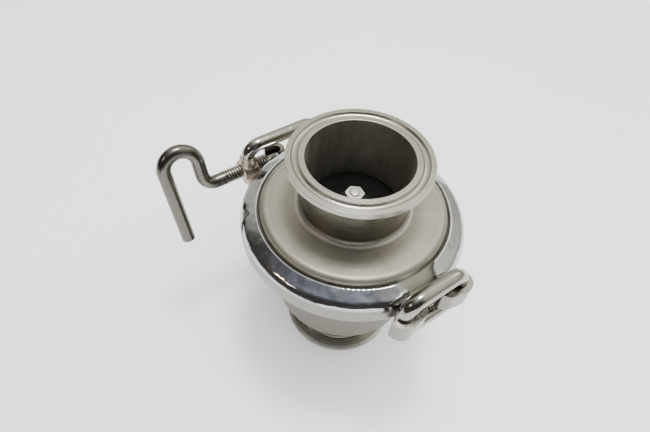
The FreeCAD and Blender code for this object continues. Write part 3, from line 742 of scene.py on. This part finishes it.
def handle(bm):
    lean = Vector((math.sin(LEAN), 0, math.cos(LEAN)))
    along = Vector((0, 1, 0))
    across = along.cross(lean)
    middle = Vector((SCREW_OUT, 0, 0))
    start = THREAD_END - OVERLAP
    edges = rod_end(bm, ROD_RADIUS, middle + along * start, along)
    edges = feed(bm, edges, along * (RISE_ALONG - LOW_BEND - start))
    edges = bend(bm, edges, middle + along * (RISE_ALONG - LOW_BEND) + lean * LOW_BEND, across, 90, 16)
    edges = feed(bm, edges, lean * (HANDLE_TOP - TOP_BEND - LOW_BEND))
    top_centre = middle + along * (RISE_ALONG + TOP_BEND) + lean * (HANDLE_TOP - TOP_BEND)
    edges = bend(bm, edges, top_centre, across, -180, 32)
    edges = feed(bm, edges, lean * (HANDLE_END - HANDLE_TOP + TOP_BEND + END_SLOPE))
    edges = feed(bm, edges, lean * -END_SLOPE, END_SHRINK)
    bmesh.ops.contextual_create(bm, geom=edges)


screw = bmesh.new()
thread(screw)
handle(screw)
at_screw = gap_frame(SCREW_TURN)
finished(screw, "threaded_screw", threaded_steel, "screw", at_screw, ("clamp_screw",))

# %% [markdown]
# ## The coil spring
#
# A compression spring ends in a dead coil at each end, lying flat so that it stands square. The solid model
# leaves those out. We sweep a wire ring round the axis three times: one flat turn, the climbing turns, and
# one more flat turn. It squashes towards its fixed foot as the disc opens; here it rides on the body. Each
# dead coil rises a little less than one wire, so the next coil rests on it.

# %% The spring
WIRE, WIRE_SIDES = 2.2, 16
COIL_RADIUS = 12.5
SPRING_FOOT, SPRING_HEAD = 50.2, 86.5
LIVE_TURNS = 4.5
COIL_STEPS = 32

coil = bmesh.new()
ring = rod_end(coil, WIRE / 2, (COIL_RADIUS, 0, SPRING_FOOT + WIRE / 2), (0, 1, 0), WIRE_SIDES)
dead_rise = 0.9 * WIRE
live_rise = SPRING_HEAD - SPRING_FOOT - WIRE - 2 * dead_rise
for turns, rise in ((1, dead_rise), (LIVE_TURNS, live_rise), (1, dead_rise)):
    count = int(COIL_STEPS * turns)
    ring = bend(coil, ring, (0, 0, 0), (0, 0, 1), 360 * turns, count, (0, 0, rise / count))
bmesh.ops.contextual_create(coil, geom=ring)
spring = finished(coil, "wound_spring", spring_steel, "valve_body", None, ("spring",))
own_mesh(spring)

# %% [markdown]
# ## Weld metal
#
# Where the loop's two ends meet the boss, and along each hook's foot, the real clamp has weld metal: small,
# lumpy and never quite round. Each bead here is a ball or a collar that a smooth random field pushes in and
# out. The field is a fixed function of place, so every run makes the same beads.

# %% Lumps
def make_lumpy(bm, size, depth):
    """Pushes every vertex along its normal by a smooth field with lumps of that size."""
    bm.normal_update()
    for vert in bm.verts:
        vert.co += vert.normal * (depth * noise.noise(vert.co / size))


# %% The boss's weld collars
LINK_OUT = 56.3
BOSS_ALONG = 26.5

collars = bmesh.new()
for side in (1, -1):
    outline = [(3.3, 9.2), (3.62, 8.7), (3.75, 7.6), (4.15, 6.4), (4.75, 5.2), (4.9, 3.9), (4.2, 3.0)]
    verts = []
    for radius, up in outline:
        verts.append(collars.verts.new((LINK_OUT + radius, BOSS_ALONG, side * up)))
    chain = [collars.edges.new(pair) for pair in zip(verts, verts[1:])]
    bmesh.ops.spin(
        collars,
        geom=chain,
        cent=(LINK_OUT, BOSS_ALONG, 0),
        axis=(0, 0, 1),
        angle=math.tau,
        steps=40,
        use_merge=True,
        use_duplicate=False,
    )
rims = [edge for edge in collars.edges if edge.is_boundary]
bmesh.ops.holes_fill(collars, edges=rims, sides=0)
make_lumpy(collars, size=3.2, depth=0.3)
finished(collars, "boss_welds", boss_brown, "screw_link", at_screw)

# %% The hooks' weld beads
BEAD_COUNT = 7
BEAD_ROW = 5.5 * 0.9
BEAD_OUT, BEAD_ALONG = 52.7, 11.1
BEAD_SHAPE = (1.25, 1.35, 1.15, 1)


def hook_weld(name, azimuth, side, body):
    """A row of overlapping beads down the corner between a hook's foot and the band's wall."""
    beads = bmesh.new()
    for i in range(BEAD_COUNT):
        up = BEAD_ROW * (2 * i / (BEAD_COUNT - 1) - 1)
        shape = Matrix.Translation((BEAD_OUT, side * BEAD_ALONG, up)) @ Matrix.Diagonal(BEAD_SHAPE)
        bmesh.ops.create_icosphere(beads, subdivisions=3, radius=1.0, matrix=shape)
    make_lumpy(beads, size=1.2, depth=0.18)
    finished(beads, name, weld_steel, body, gap_frame(azimuth))


hook_weld("weld_rear_hinge", HINGE_TURN, 1, "valve_body")
hook_weld("weld_front_hinge", HINGE_TURN, -1, "front_clamp")
hook_weld("weld_front_screw", SCREW_TURN, 1, "front_clamp")
hook_weld("weld_rear_screw", SCREW_TURN, -1, "valve_body")

# %% [markdown]
# ## The floor
#
# A plain pale floor, so large that its edge lies at the horizon. It is a single face with a hint of
# unevenness in its colour, since perfectly even grey looks like a hole in the picture.

# %% Floor
FLOOR_SIZE = 60.0
FLOOR_GAP = 0.0002


def floor_white():
    finish = Finish("floor_white", metallic=0.0, specular=0.3)
    clouds = finish.grain(180, 3)
    colour = finish.blend(clouds, (0.88, 0.88, 0.90), (0.92, 0.92, 0.94))
    return finish.wear(colour, 0.55 + 0.1 * clouds)


ground = bmesh.new()
bmesh.ops.create_grid(ground, x_segments=1, y_segments=1, size=FLOOR_SIZE / 2)
floor_mesh = bpy.data.meshes.new("floor")
ground.to_mesh(floor_mesh)
ground.free()
floor_mesh.materials.append(floor_white())
floor = bpy.data.objects.new("floor", floor_mesh)
bpy.context.scene.collection.objects.link(floor)
floor.location.z = -FLOOR_GAP
